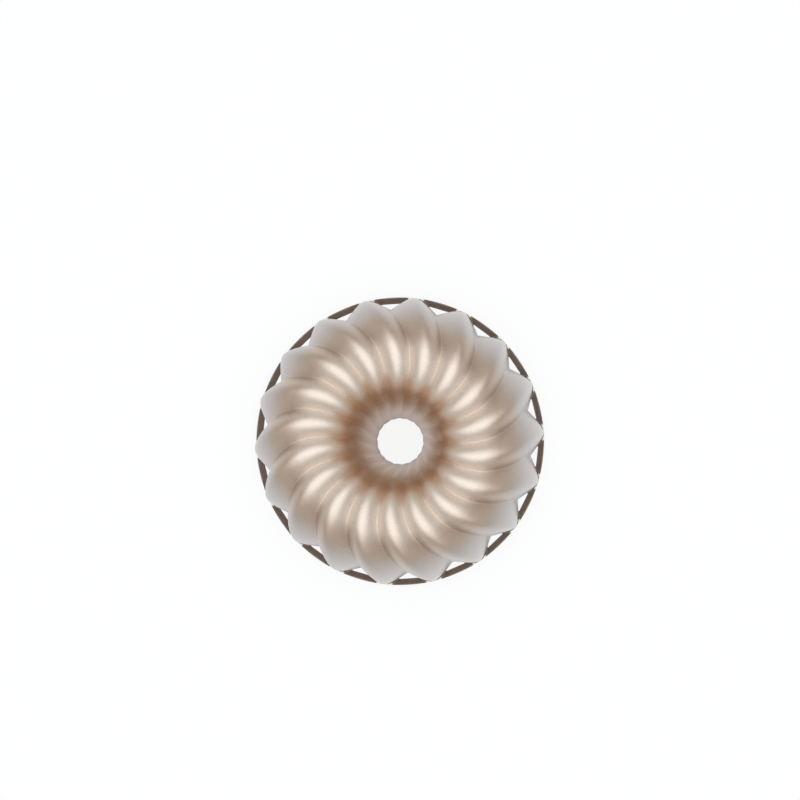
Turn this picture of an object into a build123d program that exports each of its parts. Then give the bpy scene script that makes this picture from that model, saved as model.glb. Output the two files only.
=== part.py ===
from build123d import *

# A swirled ring mould for brioche, standing crown up on its rim. The z axis is the mould's
# own axis, z = 0 is the plane that it stands on, and one flute tip points along +X.
# Lengths are in millimetres and angles in degrees.

import os
from collections import namedtuple
from math import cos, hypot, radians, sin

# Rim of the fluted shell
flute_count = 18
tip_radius = 130.0
rim_flute_depth = 11.6
rim_draft = 10.0

# Shoulder and crown of the fluted shell
crown_height = 90.0
crown_radius = 69.0
shoulder_flute_depth = 10.0
crown_flute_depth = 7.5
inner_shoulder_flute_depth = 4.4
swirl = 16.6

# Centre tube
tube_joint_height = 60.0
tube_joint_radius = 37.0
tube_joint_draft = 25.0
tube_joint_flute_depth = 2.4
tube_end_height = 2.0
tube_end_radius = 21.0
tube_end_draft = 12.0
tube_end_flute_depth = 0.6

# Metal of the shell and the tube
wall = 2.6

# Hoop round the flute tips, which stand proud of it by the inset, and its windows between them
hoop_inset = 0.7
hoop_height = 4.6
hoop_foot = 1.5
hoop_foot_width = 5.3
hoop_top_width = 0.8
hoop_clearance = 0.3
window_width = 17.9
window_top_width = 31.5

# Run of a cut past the metal that it goes through
overrun = 1.0

# Shares that shape the profile and the flutes between the named places
shoulder_radius_share = 0.62
shoulder_height_share = 0.79
shoulder_facing = 38.0
inner_shoulder_radius_share = 0.30
inner_shoulder_height_share = 0.62
inner_shoulder_facing = 124.0
rim_nose_share = 0.22
crown_nose_share = 0.95
valley_wall_share = 1.2
swirl_peak_share = 0.84

# Shares of a flute's half width at which lines run along it, from its crease at -1 over its
# crest at 0 to just short of the next crease
shell_line_shares = (-1, -0.7, -0.35, 0, 0.35, 0.7)
tube_line_shares = (-1, 0)

# How many places along a flute set its lines
shell_stations = 12
tube_stations = 4

pitch = 360 / flute_count
hoop_radius = tip_radius - hoop_inset

Place = namedtuple("Place", "radius height facing depth")


def between(start, end, share):
    """The value at a share of the way from start to end."""
    return start + (end - start) * share


# The valley between two flutes at the places that shape the profile, with the way that the
# skin faces there, from outward at 0 over upward at 90 to the axis at 180, and the flutes' depth
rim = Place(tip_radius - rim_flute_depth, hoop_foot, 0, rim_flute_depth)
crown = Place(crown_radius, crown_height - crown_flute_depth, 90, crown_flute_depth)
tube_joint = Place(tube_joint_radius, tube_joint_height, 180, tube_joint_flute_depth)
tube_end = Place(tube_end_radius, tube_end_height, 180, tube_end_flute_depth)
shoulder = Place(
    between(crown.radius, rim.radius, shoulder_radius_share),
    between(rim.height, crown.height, shoulder_height_share),
    shoulder_facing,
    shoulder_flute_depth,
)
inner_shoulder = Place(
    between(tube_joint.radius, crown.radius, inner_shoulder_radius_share),
    between(tube_joint.height, crown.height, inner_shoulder_height_share),
    inner_shoulder_facing,
    inner_shoulder_flute_depth,
)


def leaning(draft, rise):
    """The direction of a profile that leans towards the axis by its draft, rising or falling."""
    return Vector(-sin(radians(draft)), 0, rise * cos(radians(draft)))


rim_direction = leaning(rim_draft, 1)
joint_direction = leaning(tube_joint_draft, -1)
end_direction = leaning(tube_end_draft, -1)


def shell_swirl(share):
    """How far the flutes have turned at a share of the way from the rim to the tube."""
    return -swirl * sin(radians(90) * share / swirl_peak_share) ** 4


def tube_swirl(share):
    """How far the faint flutes of the tube are turned, unwinding down to its end."""
    return shell_swirl(1) * cos(radians(90) * share)


def shell_nose(share):
    """How round a flute is: nearly pointed at the rim, round on the crown, faint at the tube."""
    if share < swirl_peak_share:
        return between(rim_nose_share, crown_nose_share, share / swirl_peak_share)
    return between(crown_nose_share, 0, (share - swirl_peak_share) / (1 - swirl_peak_share))


def tube_nose(share):
    """The tube's faint flutes are flat to both sides of their crest."""
    return 0


# What sets a fluted skin: its places from end to end, its directions at both ends, the shares
# across a flute at which it has lines, how it turns, how round its flutes are and its stations
Skin = namedtuple("Skin", "places directions shares turn nose stations")

shell_skin = Skin(
    (rim, shoulder, crown, inner_shoulder, tube_joint),
    (rim_direction, joint_direction),
    shell_line_shares,
    shell_swirl,
    shell_nose,
    shell_stations,
)
tube_skin = Skin(
    (tube_joint, tube_end),
    (joint_direction, end_direction),
    tube_line_shares,
    tube_swirl,
    tube_nose,
    tube_stations,
)


def profile(skin, depth_share, inset):
    """The profile of a skin at a share of the flutes' depth, set into the metal by the inset."""
    points = []
    for place in skin.places:
        out = place.depth * depth_share - inset
        facing = radians(place.facing)
        points.append(Vector(place.radius + out * cos(facing), 0, place.height + out * sin(facing)))
    return Edge.make_spline(points, tangents=skin.directions)


def flute_rise(across, nose):
    """How high a flute stands, 0 at its creases and 1 on its crest, with its nose rounded."""
    return (hypot(1, nose) - hypot(across, nose)) / (hypot(1, nose) - nose)


def flute_lines(skin, inset):
    """The lines that run the length of a skin, side by side round the whole mould."""
    valley_profile = profile(skin, 0, inset * valley_wall_share)
    crest_profile = profile(skin, 1, inset)
    half_pitch = radians(pitch / 2)
    one_flute = []
    for across in skin.shares:
        points = []
        for station in range(skin.stations):
            share = station / (skin.stations - 1)
            valley = valley_profile @ share
            foot = Vector(valley.X * cos(half_pitch), 0, valley.Z)
            point = foot + (crest_profile @ share - foot) * flute_rise(across, skin.nose(share))
            point += Vector(0, valley.X * sin(half_pitch), 0) * across
            points.append(point.rotate(Axis.Z, skin.turn(share)))
        one_flute.append(Edge.make_spline(points))
    return [line.rotate(Axis.Z, pitch * flute) for flute in range(flute_count) for line in one_flute]


def ring_through(lines, end):
    """The closed outline through one end, 0 or 1, of every line."""
    return Wire.make_polygon([line @ end for line in lines])


def fluted_body(skin):
    """The metal between a fluted skin and its inner side, closed flat at both ends."""
    outer = flute_lines(skin, 0)
    inner = flute_lines(skin, wall)
    faces = []
    for lines in (outer, inner):
        for line, following in zip(lines, lines[1:] + lines[:1]):
            faces.append(Face.make_surface_from_curves(line, following))
    for end in (0, 1):
        rings = sorted((ring_through(lines, end) for lines in (outer, inner)), key=lambda ring: ring.length)
        faces.append(Face(rings[1], [rings[0]]))
    return Solid(Shell(faces))


def fluted_shell():
    """The outer wall, the crown and the inner shoulder, in swirled flutes."""
    return fluted_body(shell_skin)


def centre_tube():
    """The open tube that goes on from the shell's inner shoulder down to the rim."""
    return fluted_body(tube_skin)


def rim_outline(inset):
    """The flat outline of the fluted shell where it stands on the hoop's foot."""
    return Face(ring_through(flute_lines(shell_skin, inset), 0))


def hoop_disc(bottom, top):
    """The full disc that the hoop takes up between two heights."""
    upright = (Align.CENTER, Align.CENTER, Align.MIN)
    return Pos(0, 0, bottom) * Cylinder(hoop_radius, top - bottom, align=upright)


def window_outline(height):
    """The outline of one window at a height of the hoop, wider and deeper towards the top."""
    share = height / hoop_height
    far = hoop_radius - between(hoop_foot_width, hoop_top_width, share)
    near = rim.radius - wall * valley_wall_share - overrun
    spread = between(window_width, window_top_width, share) / far
    corners = [(far, spread / 2), (far, -spread / 2), (near, -spread / 2), (near, spread / 2)]
    outline = Wire.make_polygon([Vector(radius, radius * side, height) for radius, side in corners])
    return outline.rotate(Axis.Z, pitch / 2)


def rim_hoop():
    """The low hoop: a foot under the flute tips, and a band between them with its windows."""
    foot = hoop_disc(0, hoop_foot) - extrude(rim_outline(wall), hoop_foot + overrun, both=True)
    band = hoop_disc(hoop_foot, hoop_height)
    band -= extrude(rim_outline(-hoop_clearance), hoop_height, both=True)
    window = Solid.make_loft([window_outline(-overrun), window_outline(hoop_height + overrun)], ruled=True)
    windows = [window.rotate(Axis.Z, pitch * flute) for flute in range(flute_count)]
    return (foot + band) - windows


def main():
    """Writes each piece of the mould as a node of its own."""
    os.makedirs("parts", exist_ok=True)
    for piece in (fluted_shell, centre_tube, rim_hoop):
        export_step(piece(), f"parts/{piece.__name__}.step")


if __name__ == "__main__":
    main()
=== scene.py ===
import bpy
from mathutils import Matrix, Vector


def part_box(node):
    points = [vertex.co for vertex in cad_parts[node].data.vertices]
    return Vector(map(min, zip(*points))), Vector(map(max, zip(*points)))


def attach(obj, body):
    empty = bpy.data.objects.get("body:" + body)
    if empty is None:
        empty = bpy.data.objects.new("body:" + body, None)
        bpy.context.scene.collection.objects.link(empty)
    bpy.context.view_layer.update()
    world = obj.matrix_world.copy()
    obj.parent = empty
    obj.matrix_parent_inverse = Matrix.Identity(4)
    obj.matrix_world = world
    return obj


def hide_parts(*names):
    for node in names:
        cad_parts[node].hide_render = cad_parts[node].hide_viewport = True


bl_info = {
    "name": "Brioche mould",
    "version": (1, 0, 0),
    "blender": (4, 5, 0),
    "location": "3D View > Sidebar > Mould",
    "description": "Models a swirled ring mould for brioche with its centre tube, rim hoop and lacquer",
    "category": "Add Mesh",
}

from collections import namedtuple
from math import atan2, cos, hypot, pi, radians, sin

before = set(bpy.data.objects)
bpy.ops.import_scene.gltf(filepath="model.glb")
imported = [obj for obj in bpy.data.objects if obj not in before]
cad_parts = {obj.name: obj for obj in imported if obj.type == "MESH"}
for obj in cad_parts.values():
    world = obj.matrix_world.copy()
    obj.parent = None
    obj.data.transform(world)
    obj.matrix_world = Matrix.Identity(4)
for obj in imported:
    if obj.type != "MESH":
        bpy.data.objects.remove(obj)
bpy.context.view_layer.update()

import bmesh
import bpy
from bpy.props import FloatProperty, FloatVectorProperty, IntProperty, PointerProperty
from mathutils import Vector
from mathutils.geometry import interpolate_bezier

# The solid model's boxes, from which most sizes here come
shell_low, shell_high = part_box("fluted_shell")
tube_low, tube_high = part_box("centre_tube")
hoop_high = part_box("rim_hoop")[1]

MM = 0.001


class MouldSizes(bpy.types.PropertyGroup):
    """Sizes of the mould that a user would change."""

    flute_count: IntProperty(name="Flutes", description="Flutes round the mould", default=18, min=3)
    tip_radius: FloatProperty(
        name="Tip radius", description="From the axis to the flute tips at the rim",
        default=shell_high.x, unit="LENGTH", precision=4)
    crown_height: FloatProperty(
        name="Crown height", description="From the standing plane to the top of the flutes",
        default=shell_high.z, unit="LENGTH", precision=4)
    rim_height: FloatProperty(
        name="Rim height", description="From the standing plane to the underside of the fluted shell",
        default=shell_low.z, unit="LENGTH", precision=4)
    crown_radius: FloatProperty(
        name="Crown radius", description="From the axis to the highest ring of the crown",
        default=69 * MM, unit="LENGTH", precision=4)
    rim_flute_depth: FloatProperty(
        name="Rim flute depth", description="How far a flute stands out of its creases at the rim",
        default=11.6 * MM, unit="LENGTH", precision=4)
    crown_flute_depth: FloatProperty(
        name="Crown flute depth", description="How far a flute stands out of its creases on the crown",
        default=7.5 * MM, unit="LENGTH", precision=4)
    joint_height: FloatProperty(
        name="Tube joint height", description="Where the centre tube goes on from the shell",
        default=tube_high.z, unit="LENGTH", precision=4)
    joint_radius: FloatProperty(
        name="Tube joint radius", description="From the axis to the tube where it joins the shell",
        default=37 * MM, unit="LENGTH", precision=4)
    tube_end_height: FloatProperty(
        name="Tube end height", description="From the standing plane to the narrow end of the tube",
        default=tube_low.z, unit="LENGTH", precision=4)
    tube_end_radius: FloatProperty(
        name="Tube end radius", description="From the axis to the metal at the tube's narrow end",
        default=21 * MM, unit="LENGTH", precision=4)
    wall: FloatProperty(
        name="Wall", description="Thickness of the metal", default=2.6 * MM, unit="LENGTH", precision=4)
    swirl: FloatProperty(
        name="Swirl", description="How far the flutes turn from the rim to the inner shoulder",
        default=radians(16.6), subtype="ANGLE")
    hoop_radius: FloatProperty(
        name="Hoop radius", description="From the axis to the outer face of the rim hoop",
        default=hoop_high.y, unit="LENGTH", precision=4)


class MouldFinish(bpy.types.PropertyGroup):
    """Colours and surface values of the lacquer and the stage; several of the lacquer's colours are
    painted shade and painted reflection.
    """

    # Painted shade: the dark brown in the tube stands in for the shade deep inside it and for light
    # bounced between its walls
    tube_painted_shade: FloatVectorProperty(
        name="Lacquer in the tube", description="Colour at the tube's narrow end",
        default=(0.38, 0.23, 0.13), subtype="COLOR", min=0, max=1)
    # Painted shade: the brown of the inner shoulder stands in for shade and for light bounced between
    # the flutes, not for lacquer lying thickest
    inner_shoulder_painted_shade: FloatVectorProperty(
        name="Lacquer on the inner shoulder", description="Colour where it lies thickest",
        default=(0.59, 0.36, 0.205), subtype="COLOR", min=0, max=1)
    lacquer_crown: FloatVectorProperty(
        name="Lacquer on the crown", description="Colour of the champagne lacquer on top",
        default=(0.70, 0.60, 0.515), subtype="COLOR", min=0, max=1)
    # Painted shade: the darker brown on the outer shoulder stands in for its slopes reflecting the dim
    # surround instead of the overhead lamp
    outer_shoulder_painted_shade: FloatVectorProperty(
        name="Lacquer on the outer shoulder",
        description="Colour where the crown bends down to the wall",
        default=(0.51, 0.39, 0.30), subtype="COLOR", min=0, max=1)
    # Painted reflection: the greyer tone of the outer wall stands in for the cool surround reflected in
    # the steep wall, not for lacquer lying thinnest
    wall_painted_reflection: FloatVectorProperty(
        name="Lacquer on the outer wall", description="Colour where it lies thinnest",
        default=(0.49, 0.445, 0.42), subtype="COLOR", min=0, max=1)
    # Painted reflection: the blue-grey of the flute tips stands in for the surround reflected in their
    # steep faces
    tip_painted_reflection: FloatVectorProperty(
        name="Lacquer on the flute tips", description="Colour at the pointed ends of the flutes",
        default=(0.58, 0.565, 0.565), subtype="COLOR", min=0, max=1)
    # Painted shade: the hoop's dark brown stands in for the shade on its steep inner faces; the tube's
    # end edge uses it too as painted shade
    hoop_painted_shade: FloatVectorProperty(
        name="Lacquer on the hoop", description="Colour of the rim hoop",
        default=(0.19, 0.125, 0.085), subtype="COLOR", min=0, max=1)
    roughness: FloatProperty(
        name="Roughness", description="How soft the reflections in the lacquer are",
        default=0.48, min=0, max=1, subtype="FACTOR")
    floor: FloatVectorProperty(
        name="Floor", description="Colour of the floor", default=(0.86, 0.88, 0.90), subtype="COLOR",
        min=0, max=1)
    floor_white: FloatProperty(
        name="Floor white", description="How much of the floor is plain white, whatever shades it",
        default=0.85, min=0, max=1, subtype="FACTOR")


# Where the profile of the metal is set, from the rim over the crown to the tube's end, how the
# skin faces there in degrees (0 outward, 90 up, 180 to the axis) and how deep the flutes are
Place = namedtuple("Place", "radius height facing depth")

# How many rings of faces lie between one place and the next
RINGS_BETWEEN = (14, 10, 8, 7, 9)
RINGS_TO_JOINT = sum(RINGS_BETWEEN[:4])

# Columns of one flute as shares of its half width, from its crease at -1 over its crest at 0
COLUMNS = (-1, -0.94, -0.82, -0.66, -0.47, -0.28, -0.12, 0, 0.12, 0.28, 0.47, 0.66, 0.82, 0.94)

# How the metal leans towards the axis at the rim, at the tube's joint and at the tube's end
RIM_DRAFT = 10
JOINT_DRAFT = 25
END_DRAFT = 12

# Rounds in which a profile's runs settle, as those of a springy strip do
STRIP_ROUNDS = 12

# Where the two shoulders lie between the places beside them, how they face in degrees, and how
# deep their flutes are against those of the rim and of the crown
SHOULDER_RADIUS_SHARE = 0.62
SHOULDER_HEIGHT_SHARE = 0.79
SHOULDER_FACING = 38
SHOULDER_DEPTH_SHARE = 0.862
INNER_SHOULDER_RADIUS_SHARE = 0.30
INNER_SHOULDER_HEIGHT_SHARE = 0.62
INNER_SHOULDER_FACING = 124
INNER_SHOULDER_DEPTH_SHARE = 0.587

# How deep the tube's faint flutes are
JOINT_FLUTE_DEPTH = 2.4 * MM
END_FLUTE_DEPTH = 0.6 * MM

# How far along a flute it has turned most, and how round its crest is at the rim and there
SWIRL_PEAK_SHARE = 0.84
RIM_NOSE_SHARE = 0.22
CROWN_NOSE_SHARE = 0.95

# Points closer together than this are one
SAME_POINT = 0.001 * MM

# The bevels of the hoop, the angle in degrees within which its faces are merged, and those past
# which edges are bevelled or kept sharp
HOOP_BEVEL = 0.1 * MM
FLAT_ANGLE = 1
BEVEL_ANGLE = 25
SHARP_ANGLE = 40

# How far past the inner bend the crown's tone is reached, and past the outer bend the wall's painted
# reflection, in thicknesses of the metal
CROWN_TONE_WALLS = 2.6
WALL_TONE_WALLS = 3

# How far the painted crease shade of the inner shoulder reaches out along the creases, darkening them
# where shade falls
CREASE_SHADE_REACH = 3.5 * MM

# The metal flake in the lacquer: how fine it is, the part of its noise that counts, how it darkens
# and lightens the tone, and how strongly and deeply it roughens the surface
FLAKE_SCALE = 1400
FLAKE_NOISE = (0.35, 0.65)
FLAKE_TONES = (0.88, 1.05)
FLAKE_BUMP = 0.05
FLAKE_DEPTH = 0.2 * MM

# The lacquer's metal, and the clear coat over it
LACQUER_METALLIC = 0.82
COAT_WEIGHT = 1.0
COAT_IOR = 1.9
COAT_ROUGHNESS = 0.42

# The hoop gets a painted highlight where its faces look up and the wave that peaks at each flute tip is
# high, from not at all at the first number to fully at the second
PAD_FACING = (0.7, 0.9)
PAD_WAVE = (0.45, 0.6)

# The floor in metres, and how far below the standing plane it lies, so that it doesn't flicker
# through the hoop
FLOOR_SIZE = 6
FLOOR_DROP = 0.2 * MM
FLOOR_ROUGHNESS = 0.9

# The lamp in metres and watts, slightly cool, in a dim and slightly warm surround
LAMP_SIZE = 4.0
LAMP_HEIGHT = 1.6
LAMP_POWER = 47
LAMP_COLOUR = (0.93, 0.97, 1.0)
SURROUND_COLOUR = (1.0, 0.95, 0.89)
SURROUND_STRENGTH = 0.47


def between(start, end, share):
    """The value at a share of the way from start to end."""
    return start + (end - start) * share


def mould_places(sizes):
    """The valley between two flutes at its named places, from the rim to the tube's end."""
    rim_radius = sizes.tip_radius - sizes.rim_flute_depth
    valley_top = sizes.crown_height - sizes.crown_flute_depth
    return (
        Place(rim_radius, sizes.rim_height, 0, sizes.rim_flute_depth),
        Place(
            between(sizes.crown_radius, rim_radius, SHOULDER_RADIUS_SHARE),
            between(sizes.rim_height, valley_top, SHOULDER_HEIGHT_SHARE),
            SHOULDER_FACING, sizes.rim_flute_depth * SHOULDER_DEPTH_SHARE),
        Place(sizes.crown_radius, valley_top, 90, sizes.crown_flute_depth),
        Place(
            between(sizes.joint_radius, sizes.crown_radius, INNER_SHOULDER_RADIUS_SHARE),
            between(sizes.joint_height, valley_top, INNER_SHOULDER_HEIGHT_SHARE),
            INNER_SHOULDER_FACING, sizes.crown_flute_depth * INNER_SHOULDER_DEPTH_SHARE),
        Place(sizes.joint_radius, sizes.joint_height, 180, JOINT_FLUTE_DEPTH),
        Place(sizes.tube_end_radius, sizes.tube_end_height, 180, END_FLUTE_DEPTH),
    )


def strip_runs(points, first, last):
    """How a springy strip runs at each point that it is bent through, with both ends held."""
    spans = [(after - before).length for before, after in zip(points, points[1:])]
    runs = [first] + [Vector()] * (len(points) - 2) + [last]
    for _ in range(STRIP_ROUNDS):
        for number in range(1, len(points) - 1):
            before, after = spans[number - 1], spans[number]
            pull = (points[number] - points[number - 1]) / before**2
            pull += (points[number + 1] - points[number]) / after**2
            pull = 3 * pull - runs[number - 1] / before - runs[number + 1] / after
            runs[number] = pull / (2 / before + 2 / after)
    return runs


def leaning(draft, rise):
    """The direction of a profile that leans towards the axis by its draft, rising or falling."""
    return Vector((-sin(radians(draft)), 0, rise * cos(radians(draft))))


def profile_line(places, depth_share):
    """Points of the profile at a share of the flutes' depth, ring by ring."""
    spots = []
    for place in places:
        out = place.depth * depth_share
        facing = radians(place.facing)
        spots.append(Vector((place.radius + out * cos(facing), 0, place.height + out * sin(facing))))
    shell_runs = strip_runs(spots[:5], leaning(RIM_DRAFT, 1), leaning(JOINT_DRAFT, -1))
    runs = shell_runs + [leaning(END_DRAFT, -1)]
    points = []
    for number, rings in enumerate(RINGS_BETWEEN):
        start, end = spots[number], spots[number + 1]
        reach = (end - start).length / 3
        line = interpolate_bezier(
            start, start + runs[number] * reach, end - runs[number + 1] * reach, end, rings + 1)
        points += line[1:] if points else line
    return points


def run_shares(points, first, last):
    """How far along its run from the first point to the last each point lies, from 0 to 1."""
    lengths = [0.0]
    for one, following in zip(points[first:last], points[first + 1:last + 1]):
        lengths.append(lengths[-1] + (following - one).length)
    return [length / lengths[-1] for length in lengths]


def nose_at(share):
    """How round a flute is: nearly pointed at the rim, round on the crown, faint at the tube."""
    if share < SWIRL_PEAK_SHARE:
        return RIM_NOSE_SHARE + (CROWN_NOSE_SHARE - RIM_NOSE_SHARE) * share / SWIRL_PEAK_SHARE
    return CROWN_NOSE_SHARE * (1 - share) / (1 - SWIRL_PEAK_SHARE)


def skin_rings(sizes):
    """For each ring of the skin, the radius, angle and height of one flute's columns."""
    places = mould_places(sizes)
    valleys = profile_line(places, 0)
    crests = profile_line(places, 1)
    shares = run_shares(valleys, 0, RINGS_TO_JOINT)
    tube_shares = run_shares(valleys, RINGS_TO_JOINT, len(valleys) - 1)
    half_pitch = pi / sizes.flute_count
    peak = pi / 2 / SWIRL_PEAK_SHARE
    rings = []
    for number, (valley, crest) in enumerate(zip(valleys, crests)):
        if number <= RINGS_TO_JOINT:
            nose = nose_at(shares[number])
            turn = -sizes.swirl * sin(peak * shares[number]) ** 4
        else:
            nose = 0
            turn = -sizes.swirl * sin(peak) ** 4 * cos(pi / 2 * tube_shares[number - RINGS_TO_JOINT])
        foot = Vector((valley.x * cos(half_pitch), 0, valley.z))
        ring = []
        for across in COLUMNS:
            rise = (hypot(1, nose) - hypot(across, nose)) / (hypot(1, nose) - nose)
            point = foot.lerp(crest, rise)
            side = valley.x * sin(half_pitch) * across
            ring.append((hypot(point.x, side), atan2(side, point.x) + turn, point.z))
        rings.append(ring)
    return rings


def edit(piece):
    """Opens a piece for editing with nothing selected, and returns its mesh."""
    bpy.ops.object.select_all(action="DESELECT")
    piece.select_set(True)
    bpy.context.view_layer.objects.active = piece
    bpy.ops.object.mode_set(mode="EDIT")
    bpy.ops.mesh.select_mode(type="VERT")
    bpy.ops.mesh.select_all(action="DESELECT")
    return bmesh.from_edit_mesh(piece.data)


def pick(piece, numbers):
    """Selects only the vertices with these numbers in the piece that is open for editing."""
    bpy.ops.mesh.select_all(action="DESELECT")
    mesh = bmesh.from_edit_mesh(piece.data)
    mesh.verts.ensure_lookup_table()
    for number in numbers:
        mesh.verts[number].select = True
    mesh.select_flush(True)


def ring_numbers(piece, start):
    """The numbers of the selected ring's vertices, in order of angle from the start."""
    mesh = bmesh.from_edit_mesh(piece.data)
    mesh.verts.index_update()
    ring = [vert for vert in mesh.verts if vert.select]
    ring.sort(key=lambda vert: (atan2(vert.co.y, vert.co.x) - start) % (2 * pi))
    return [vert.index for vert in ring]


def extrude_skin(name, sizes, rings):
    """A fluted skin drawn up from one circle: each new ring is extruded and its columns shaped."""
    columns = len(COLUMNS)
    radius, start, height = rings[0][0]
    bpy.ops.object.select_all(action="DESELECT")
    bpy.ops.mesh.primitive_circle_add(
        vertices=sizes.flute_count * columns, radius=radius, location=(0, 0, height))
    piece = bpy.context.object
    bpy.ops.object.transform_apply()
    piece.name = name
    edit(piece)
    bpy.ops.mesh.select_all(action="SELECT")
    step = 2 * pi / (sizes.flute_count * columns)
    last = [(radius, start + step * column, height) for column in range(columns)]
    for number, ring in enumerate(rings):
        if number:
            bpy.ops.mesh.extrude_region_move()
        numbers = ring_numbers(piece, last[0][1] - step / 4)
        for column, (radius, angle, height) in enumerate(ring):
            radius_now, angle_now, height_now = last[column]
            pick(piece, numbers[column::columns])
            grow = radius / radius_now
            bpy.ops.transform.resize(value=(grow, grow, 1), center_override=(0, 0, 0))
            bpy.ops.transform.translate(value=(0, 0, height - height_now))
            bpy.ops.transform.rotate(
                value=angle_now - angle, orient_axis="Z", center_override=(0, 0, 0))
        last = ring
        pick(piece, numbers)
    bpy.ops.object.mode_set(mode="OBJECT")
    return piece


def flatten_end(piece, radius, height, reach):
    """Levels the metal's end by this radius, within reach of it, and this height."""
    mesh = edit(piece)
    for vert in mesh.verts:
        near = abs(vert.co.xy.length - radius) < reach and abs(vert.co.z - height) < reach / 4
        vert.select = near
    mesh.select_flush(True)
    bpy.ops.transform.resize(value=(1, 1, 0), center_override=(0, 0, height))
    bpy.ops.object.mode_set(mode="OBJECT")


def point_outwards(piece):
    """Turns every face of an open skin to its outer side."""
    edit(piece)
    bpy.ops.mesh.select_all(action="SELECT")
    bpy.ops.mesh.normals_make_consistent(inside=False)
    bpy.ops.object.mode_set(mode="OBJECT")


def apply_modifier(piece, kind, **values):
    """Adds a modifier with these values to the piece and applies it."""
    bpy.context.view_layer.objects.active = piece
    modifier = piece.modifiers.new(kind.title(), kind)
    for name, value in values.items():
        setattr(modifier, name, value)
    bpy.ops.object.modifier_apply(modifier=modifier.name)


def split_tube(piece, sizes):
    """Parts the metal level with the tube's joint and closes both cuts."""
    edit(piece)
    bpy.ops.mesh.select_mode(type="FACE")
    widest = sizes.joint_radius + 3 * sizes.wall
    mesh = bmesh.from_edit_mesh(piece.data)
    for face in mesh.faces:
        face.select = face.calc_center_median().xy.length < widest
    bpy.ops.mesh.bisect(
        plane_co=(0, 0, sizes.joint_height), plane_no=(0, 0, 1), threshold=SAME_POINT)
    bpy.ops.mesh.select_all(action="DESELECT")
    mesh = bmesh.from_edit_mesh(piece.data)
    for face in mesh.faces:
        middle = face.calc_center_median()
        face.select = middle.z < sizes.joint_height and middle.xy.length < widest
    bpy.ops.mesh.separate(type="SELECTED")
    bpy.ops.object.mode_set(mode="OBJECT")
    tube = next(one for one in bpy.context.selected_objects if one != piece)
    for part in (piece, tube):
        edit(part)
        bpy.ops.mesh.select_mode(type="EDGE")
        bpy.ops.mesh.select_non_manifold()
        bpy.ops.mesh.fill()
        bpy.ops.object.mode_set(mode="OBJECT")
    return piece, tube


def shade(piece, angle):
    """Smooth shading with edges kept sharp where the faces turn by more than the angle."""
    bpy.ops.object.select_all(action="DESELECT")
    piece.select_set(True)
    bpy.context.view_layer.objects.active = piece
    bpy.ops.object.shade_smooth_by_angle(angle=radians(angle))


def finish_piece(piece, node, material):
    """Gives a piece its material and hands it over to the frame in the node's place."""
    piece.data.materials.clear()
    piece.data.materials.append(material)
    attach(piece, "root")
    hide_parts(node)


def body_tones_with_painted_light(finish, sizes):
    """The lacquer's colour by distance, mostly painted light: painted shade deepest on the inner
    shoulder and the tube's end edge and darker on the outer shoulder, painted reflection greyer on the
    wall and tips, and the lacquer's own champagne on the crown.
    """
    inner_bend = mould_places(sizes)[3].radius
    outer_bend = mould_places(sizes)[1].radius
    return (
        (sizes.tube_end_radius, finish.hoop_painted_shade),
        (sizes.tube_end_radius + sizes.wall / 2, finish.tube_painted_shade),
        (sizes.joint_radius - sizes.wall / 2, finish.inner_shoulder_painted_shade),
        (inner_bend + CROWN_TONE_WALLS * sizes.wall, finish.lacquer_crown),
        (outer_bend - sizes.rim_flute_depth * 2, finish.lacquer_crown),
        (outer_bend - sizes.rim_flute_depth, finish.outer_shoulder_painted_shade),
        (outer_bend - sizes.wall, finish.outer_shoulder_painted_shade),
        (outer_bend + sizes.wall * WALL_TONE_WALLS, finish.wall_painted_reflection),
        (sizes.tip_radius, finish.tip_painted_reflection),
    )


def calculate(tree, operation, *values):
    """The result of a sum or function of these numbers and sockets."""
    node = tree.nodes.new("ShaderNodeMath")
    node.operation = operation
    for socket, value in zip(node.inputs, values):
        if isinstance(value, bpy.types.NodeSocket):
            tree.links.new(value, socket)
        else:
            socket.default_value = value
    return node.outputs["Value"]


def spread(tree, value, start, end, low=0.0, high=1.0):
    """The value spread from one range onto another, and held at its ends."""
    node = tree.nodes.new("ShaderNodeMapRange")
    for name, number in (("From Min", start), ("From Max", end), ("To Min", low), ("To Max", high)):
        node.inputs[name].default_value = number
    tree.links.new(value, node.inputs["Value"])
    return node.outputs["Result"]


def across_flutes(tree, place, count, turn):
    """A wave round the mould, 1 on the crests of flutes turned by this angle, -1 in the creases."""
    sides = tree.nodes.new("ShaderNodeSeparateXYZ")
    tree.links.new(place, sides.inputs["Vector"])
    angle = calculate(tree, "ARCTAN2", sides.outputs["Y"], sides.outputs["X"])
    phase = calculate(tree, "MULTIPLY", calculate(tree, "ADD", angle, turn), count)
    return calculate(tree, "COSINE", phase)


def distance_from_axis(tree, place):
    """How far a place is from the mould's axis."""
    level = tree.nodes.new("ShaderNodeVectorMath")
    level.operation = "MULTIPLY"
    level.inputs[1].default_value = (1, 1, 0)
    tree.links.new(place, level.inputs[0])
    length = tree.nodes.new("ShaderNodeVectorMath")
    length.operation = "LENGTH"
    tree.links.new(level.outputs["Vector"], length.inputs[0])
    return length.outputs["Value"]


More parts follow.
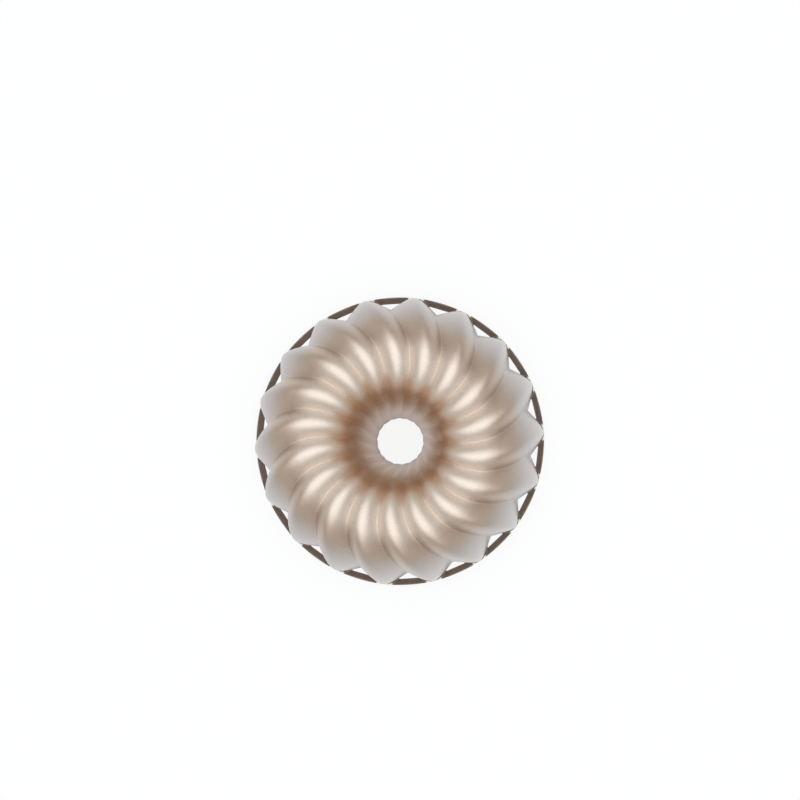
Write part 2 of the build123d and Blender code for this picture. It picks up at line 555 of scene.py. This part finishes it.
def lacquer(name, finish, tones, sizes):
    """Lacquer with fine metal flake, toned by the distance from the axis, where most tones are painted
    shade and painted reflection, and with painted shade darkening the creases near the tube.
    """
    material = bpy.data.materials.new(name)
    material.use_nodes = True
    tree = material.node_tree
    shader = tree.nodes["Principled BSDF"]
    place = tree.nodes.new("ShaderNodeTexCoord").outputs["Object"]
    distance = distance_from_axis(tree, place)
    # The painted crease shade sets in at the tube's joint and fades towards the crown
    crease_shade = across_flutes(tree, place, sizes.flute_count, sizes.swirl)
    crease_shade = calculate(tree, "MULTIPLY", crease_shade, CREASE_SHADE_REACH)
    inside = spread(
        tree, distance, sizes.joint_radius - sizes.wall, sizes.joint_radius + 2 * sizes.wall)
    outside = spread(tree, distance, sizes.joint_radius + 6 * sizes.wall, sizes.crown_radius, 1, 0)
    crease_shade = calculate(tree, "MULTIPLY", crease_shade, calculate(tree, "MULTIPLY", inside, outside))
    farthest = tones[-1][0]
    share = calculate(tree, "DIVIDE", calculate(tree, "ADD", distance, crease_shade), farthest)
    tone = tree.nodes.new("ShaderNodeValToRGB")
    stops = tone.color_ramp.elements
    stops.remove(stops[1])
    for number, (radius, colour) in enumerate(tones):
        stop = stops.new(radius / farthest) if number else stops[0]
        stop.position = radius / farthest
        stop.color = (*colour, 1)
    tree.links.new(share, tone.inputs["Fac"])
    flake = tree.nodes.new("ShaderNodeTexNoise")
    flake.inputs["Scale"].default_value = FLAKE_SCALE
    flake.inputs["Detail"].default_value = 2
    tree.links.new(place, flake.inputs["Vector"])
    flaked = tree.nodes.new("ShaderNodeVectorMath")
    flaked.operation = "SCALE"
    tree.links.new(tone.outputs["Color"], flaked.inputs[0])
    strength = spread(tree, flake.outputs["Fac"], *FLAKE_NOISE, *FLAKE_TONES)
    tree.links.new(strength, flaked.inputs["Scale"])
    tree.links.new(flaked.outputs["Vector"], shader.inputs["Base Color"])
    bump = tree.nodes.new("ShaderNodeBump")
    bump.inputs["Strength"].default_value = FLAKE_BUMP
    bump.inputs["Distance"].default_value = FLAKE_DEPTH
    tree.links.new(flake.outputs["Fac"], bump.inputs["Height"])
    tree.links.new(bump.outputs["Normal"], shader.inputs["Normal"])
    shader.inputs["Metallic"].default_value = LACQUER_METALLIC
    shader.inputs["Roughness"].default_value = finish.roughness
    shader.inputs["Coat Weight"].default_value = COAT_WEIGHT
    shader.inputs["Coat IOR"].default_value = COAT_IOR
    shader.inputs["Coat Roughness"].default_value = COAT_ROUGHNESS
    return material


def paint_pad_highlights(material, colour, count):
    """Paints a highlight on the top of the hoop where it meets the flute tips, in the crown's lacquer
    colour on faces that look up.
    """
    tree = material.node_tree
    place = tree.nodes["Texture Coordinate"]
    facing = tree.nodes.new("ShaderNodeSeparateXYZ")
    tree.links.new(place.outputs["Normal"], facing.inputs["Vector"])
    on_top = spread(tree, facing.outputs["Z"], *PAD_FACING)
    by_tip = spread(tree, across_flutes(tree, place.outputs["Object"], count, 0), *PAD_WAVE)
    mix = tree.nodes.new("ShaderNodeMixRGB")
    tree.links.new(calculate(tree, "MULTIPLY", on_top, by_tip), mix.inputs["Fac"])
    base = tree.nodes["Principled BSDF"].inputs["Base Color"]
    tree.links.new(base.links[0].from_socket, mix.inputs["Color1"])
    mix.inputs["Color2"].default_value = (*colour, 1)
    tree.links.new(mix.outputs["Color"], base)


class MOULD_OT_shell_and_tube(bpy.types.Operator):
    """Model the fluted shell and the centre tube as one sheet of metal, then part them"""

    bl_idname = "mould.shell_and_tube"
    bl_label = "Fluted Shell and Tube"

    def execute(self, context):
        sizes = context.scene.mould_sizes
        body = extrude_skin("mould_fluted_shell", sizes, skin_rings(sizes))
        point_outwards(body)
        apply_modifier(
            body, "SOLIDIFY", thickness=sizes.wall, offset=-1, use_even_offset=True,
            edge_crease_rim=1, edge_crease_inner=1, edge_crease_outer=1)
        rim_radius = sizes.tip_radius - sizes.rim_flute_depth / 2
        flatten_end(body, rim_radius, sizes.rim_height, sizes.wall * 4)
        flatten_end(body, sizes.tube_end_radius, sizes.tube_end_height, sizes.wall * 2)
        apply_modifier(body, "SUBSURF", levels=1, render_levels=1)
        shell, tube = split_tube(body, sizes)
        tube.name = "mould_centre_tube"
        finish = context.scene.mould_finish
        tones = body_tones_with_painted_light(finish, sizes)
        for piece, node, slot in (
            (shell, "fluted_shell", "shell_lacquer"),
            (tube, "centre_tube", "tube_lacquer"),
        ):
            shade(piece, SHARP_ANGLE)
            finish_piece(piece, node, lacquer(f"{node}_lacquer", finish, tones, sizes))
        return {"FINISHED"}


class MOULD_OT_hoop(bpy.types.Operator):
    """Finish the low hoop that joins the flute tips"""

    bl_idname = "mould.hoop"
    bl_label = "Rim Hoop"

    def execute(self, context):
        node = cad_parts["rim_hoop"]
        hoop = bpy.data.objects.new("mould_rim_hoop", node.data.copy())
        context.scene.collection.objects.link(hoop)
        edit(hoop)
        bpy.ops.mesh.select_all(action="SELECT")
        bpy.ops.mesh.remove_doubles(threshold=SAME_POINT)
        bpy.ops.mesh.dissolve_limited(angle_limit=radians(FLAT_ANGLE))
        bpy.ops.object.mode_set(mode="OBJECT")
        apply_modifier(
            hoop, "BEVEL", width=HOOP_BEVEL, segments=2, limit_method="ANGLE",
            angle_limit=radians(BEVEL_ANGLE))
        shade(hoop, SHARP_ANGLE)
        finish = context.scene.mould_finish
        sizes = context.scene.mould_sizes
        # The hoop's colour is painted shade, with a painted highlight where its tops meet the flute
        # tips
        tones = ((sizes.hoop_radius, finish.hoop_painted_shade),)
        material = lacquer("rim_hoop_lacquer", finish, tones, sizes)
        paint_pad_highlights(material, finish.lacquer_crown, sizes.flute_count)
        finish_piece(hoop, "rim_hoop", material)
        return {"FINISHED"}


class MOULD_OT_stage(bpy.types.Operator):
    """Set the pale floor, the soft lights and the camera"""

    bl_idname = "mould.stage"
    bl_label = "Stage"

    def execute(self, context):
        build_floor(context.scene.mould_finish)
        build_lights()
        build_camera()
        return {"FINISHED"}


def build_floor(finish):
    """A plain pale floor, white in view and in reflections, that keeps the object's shadow."""
    bpy.ops.object.select_all(action="DESELECT")
    bpy.ops.mesh.primitive_plane_add(size=FLOOR_SIZE, location=(0, 0, -FLOOR_DROP))
    floor = bpy.context.object
    floor.name = "floor"
    bpy.ops.object.transform_apply()
    material = bpy.data.materials.new("floor_paper")
    material.use_nodes = True
    tree = material.node_tree
    paper = tree.nodes["Principled BSDF"]
    paper.inputs["Base Color"].default_value = (*finish.floor, 1)
    paper.inputs["Roughness"].default_value = FLOOR_ROUGHNESS
    white = tree.nodes.new("ShaderNodeEmission")
    white.inputs["Color"].default_value = (1, 1, 1, 1)
    white.inputs["Strength"].default_value = 1
    path = tree.nodes.new("ShaderNodeLightPath")
    seen = calculate(tree, "MAXIMUM", path.outputs["Is Camera Ray"], path.outputs["Is Glossy Ray"])
    seen = calculate(tree, "MAXIMUM", seen, path.outputs["Is Transmission Ray"])
    mix = tree.nodes.new("ShaderNodeMixShader")
    tree.links.new(calculate(tree, "MULTIPLY", seen, finish.floor_white), mix.inputs["Fac"])
    tree.links.new(paper.outputs["BSDF"], mix.inputs[1])
    tree.links.new(white.outputs["Emission"], mix.inputs[2])
    tree.links.new(mix.outputs["Shader"], tree.nodes["Material Output"].inputs["Surface"])
    floor.data.materials.append(material)


def build_lights():
    """The wide soft lamp overhead, and the surround."""
    world = bpy.data.worlds.new("studio_world")
    world.use_nodes = True
    surround = world.node_tree.nodes["Background"]
    surround.inputs["Color"].default_value = (*SURROUND_COLOUR, 1)
    surround.inputs["Strength"].default_value = SURROUND_STRENGTH
    bpy.context.scene.world = world
    lamp = bpy.data.lights.new("overhead_softbox", "AREA")
    lamp.shape = "DISK"
    lamp.size = LAMP_SIZE
    lamp.energy = LAMP_POWER
    lamp.color = LAMP_COLOUR
    holder = bpy.data.objects.new("overhead_softbox", lamp)
    holder.location = (0, 0, LAMP_HEIGHT)
    bpy.context.scene.collection.objects.link(holder)


# The camera, as the photograph shows it: how far it is above the standing plane and beside the
# mould's axis, how it is rolled, and where its frame of 800 pixels has the point straight below it
CAMERA_HEIGHT = 850 * MM
CAMERA_RIGHT = 58.8 * MM
CAMERA_DOWN = 12.2 * MM
CAMERA_ROLL = radians(-3.65)
FRAME_PIXELS = 800
PLUMB_PIXEL = (465.6, 454.8)
METRES_PER_PIXEL = 0.9037 * MM
SENSOR = 36.0


def build_camera():
    """The camera straight above the mould, a little to its right."""
    data = bpy.data.cameras.new("camera")
    data.sensor_width = SENSOR
    data.lens = SENSOR * CAMERA_HEIGHT / METRES_PER_PIXEL / FRAME_PIXELS
    data.shift_x = (FRAME_PIXELS / 2 - PLUMB_PIXEL[0]) / FRAME_PIXELS
    data.shift_y = (PLUMB_PIXEL[1] - FRAME_PIXELS / 2) / FRAME_PIXELS
    data.dof.use_dof = False
    camera = bpy.data.objects.new("camera", data)
    right = Vector((cos(CAMERA_ROLL), sin(CAMERA_ROLL), 0))
    up = Vector((-sin(CAMERA_ROLL), cos(CAMERA_ROLL), 0))
    camera.location = right * CAMERA_RIGHT - up * CAMERA_DOWN + Vector((0, 0, CAMERA_HEIGHT))
    camera.rotation_euler = (0, 0, CAMERA_ROLL)
    bpy.context.scene.collection.objects.link(camera)
    bpy.context.scene.camera = camera


class MOULD_PT_panel(bpy.types.Panel):
    """Lists the steps that model the mould"""

    bl_label = "Brioche Mould"
    bl_space_type = "VIEW_3D"
    bl_region_type = "UI"
    bl_category = "Mould"

    def draw(self, context):
        for step in STEPS:
            self.layout.operator(step.bl_idname)


STEPS = (MOULD_OT_shell_and_tube, MOULD_OT_hoop, MOULD_OT_stage)
CLASSES = (MouldSizes, MouldFinish, *STEPS, MOULD_PT_panel)


def register():
    for one in CLASSES:
        bpy.utils.register_class(one)
    bpy.types.Scene.mould_sizes = PointerProperty(type=MouldSizes)
    bpy.types.Scene.mould_finish = PointerProperty(type=MouldFinish)


def unregister():
    del bpy.types.Scene.mould_sizes
    del bpy.types.Scene.mould_finish
    for one in reversed(CLASSES):
        bpy.utils.unregister_class(one)


def main():
    register()
    bpy.context.scene.view_settings.view_transform = "Standard"
    bpy.ops.mould.shell_and_tube()
    bpy.ops.mould.hoop()
    bpy.ops.mould.stage()


if __name__ == "__main__":
    main()
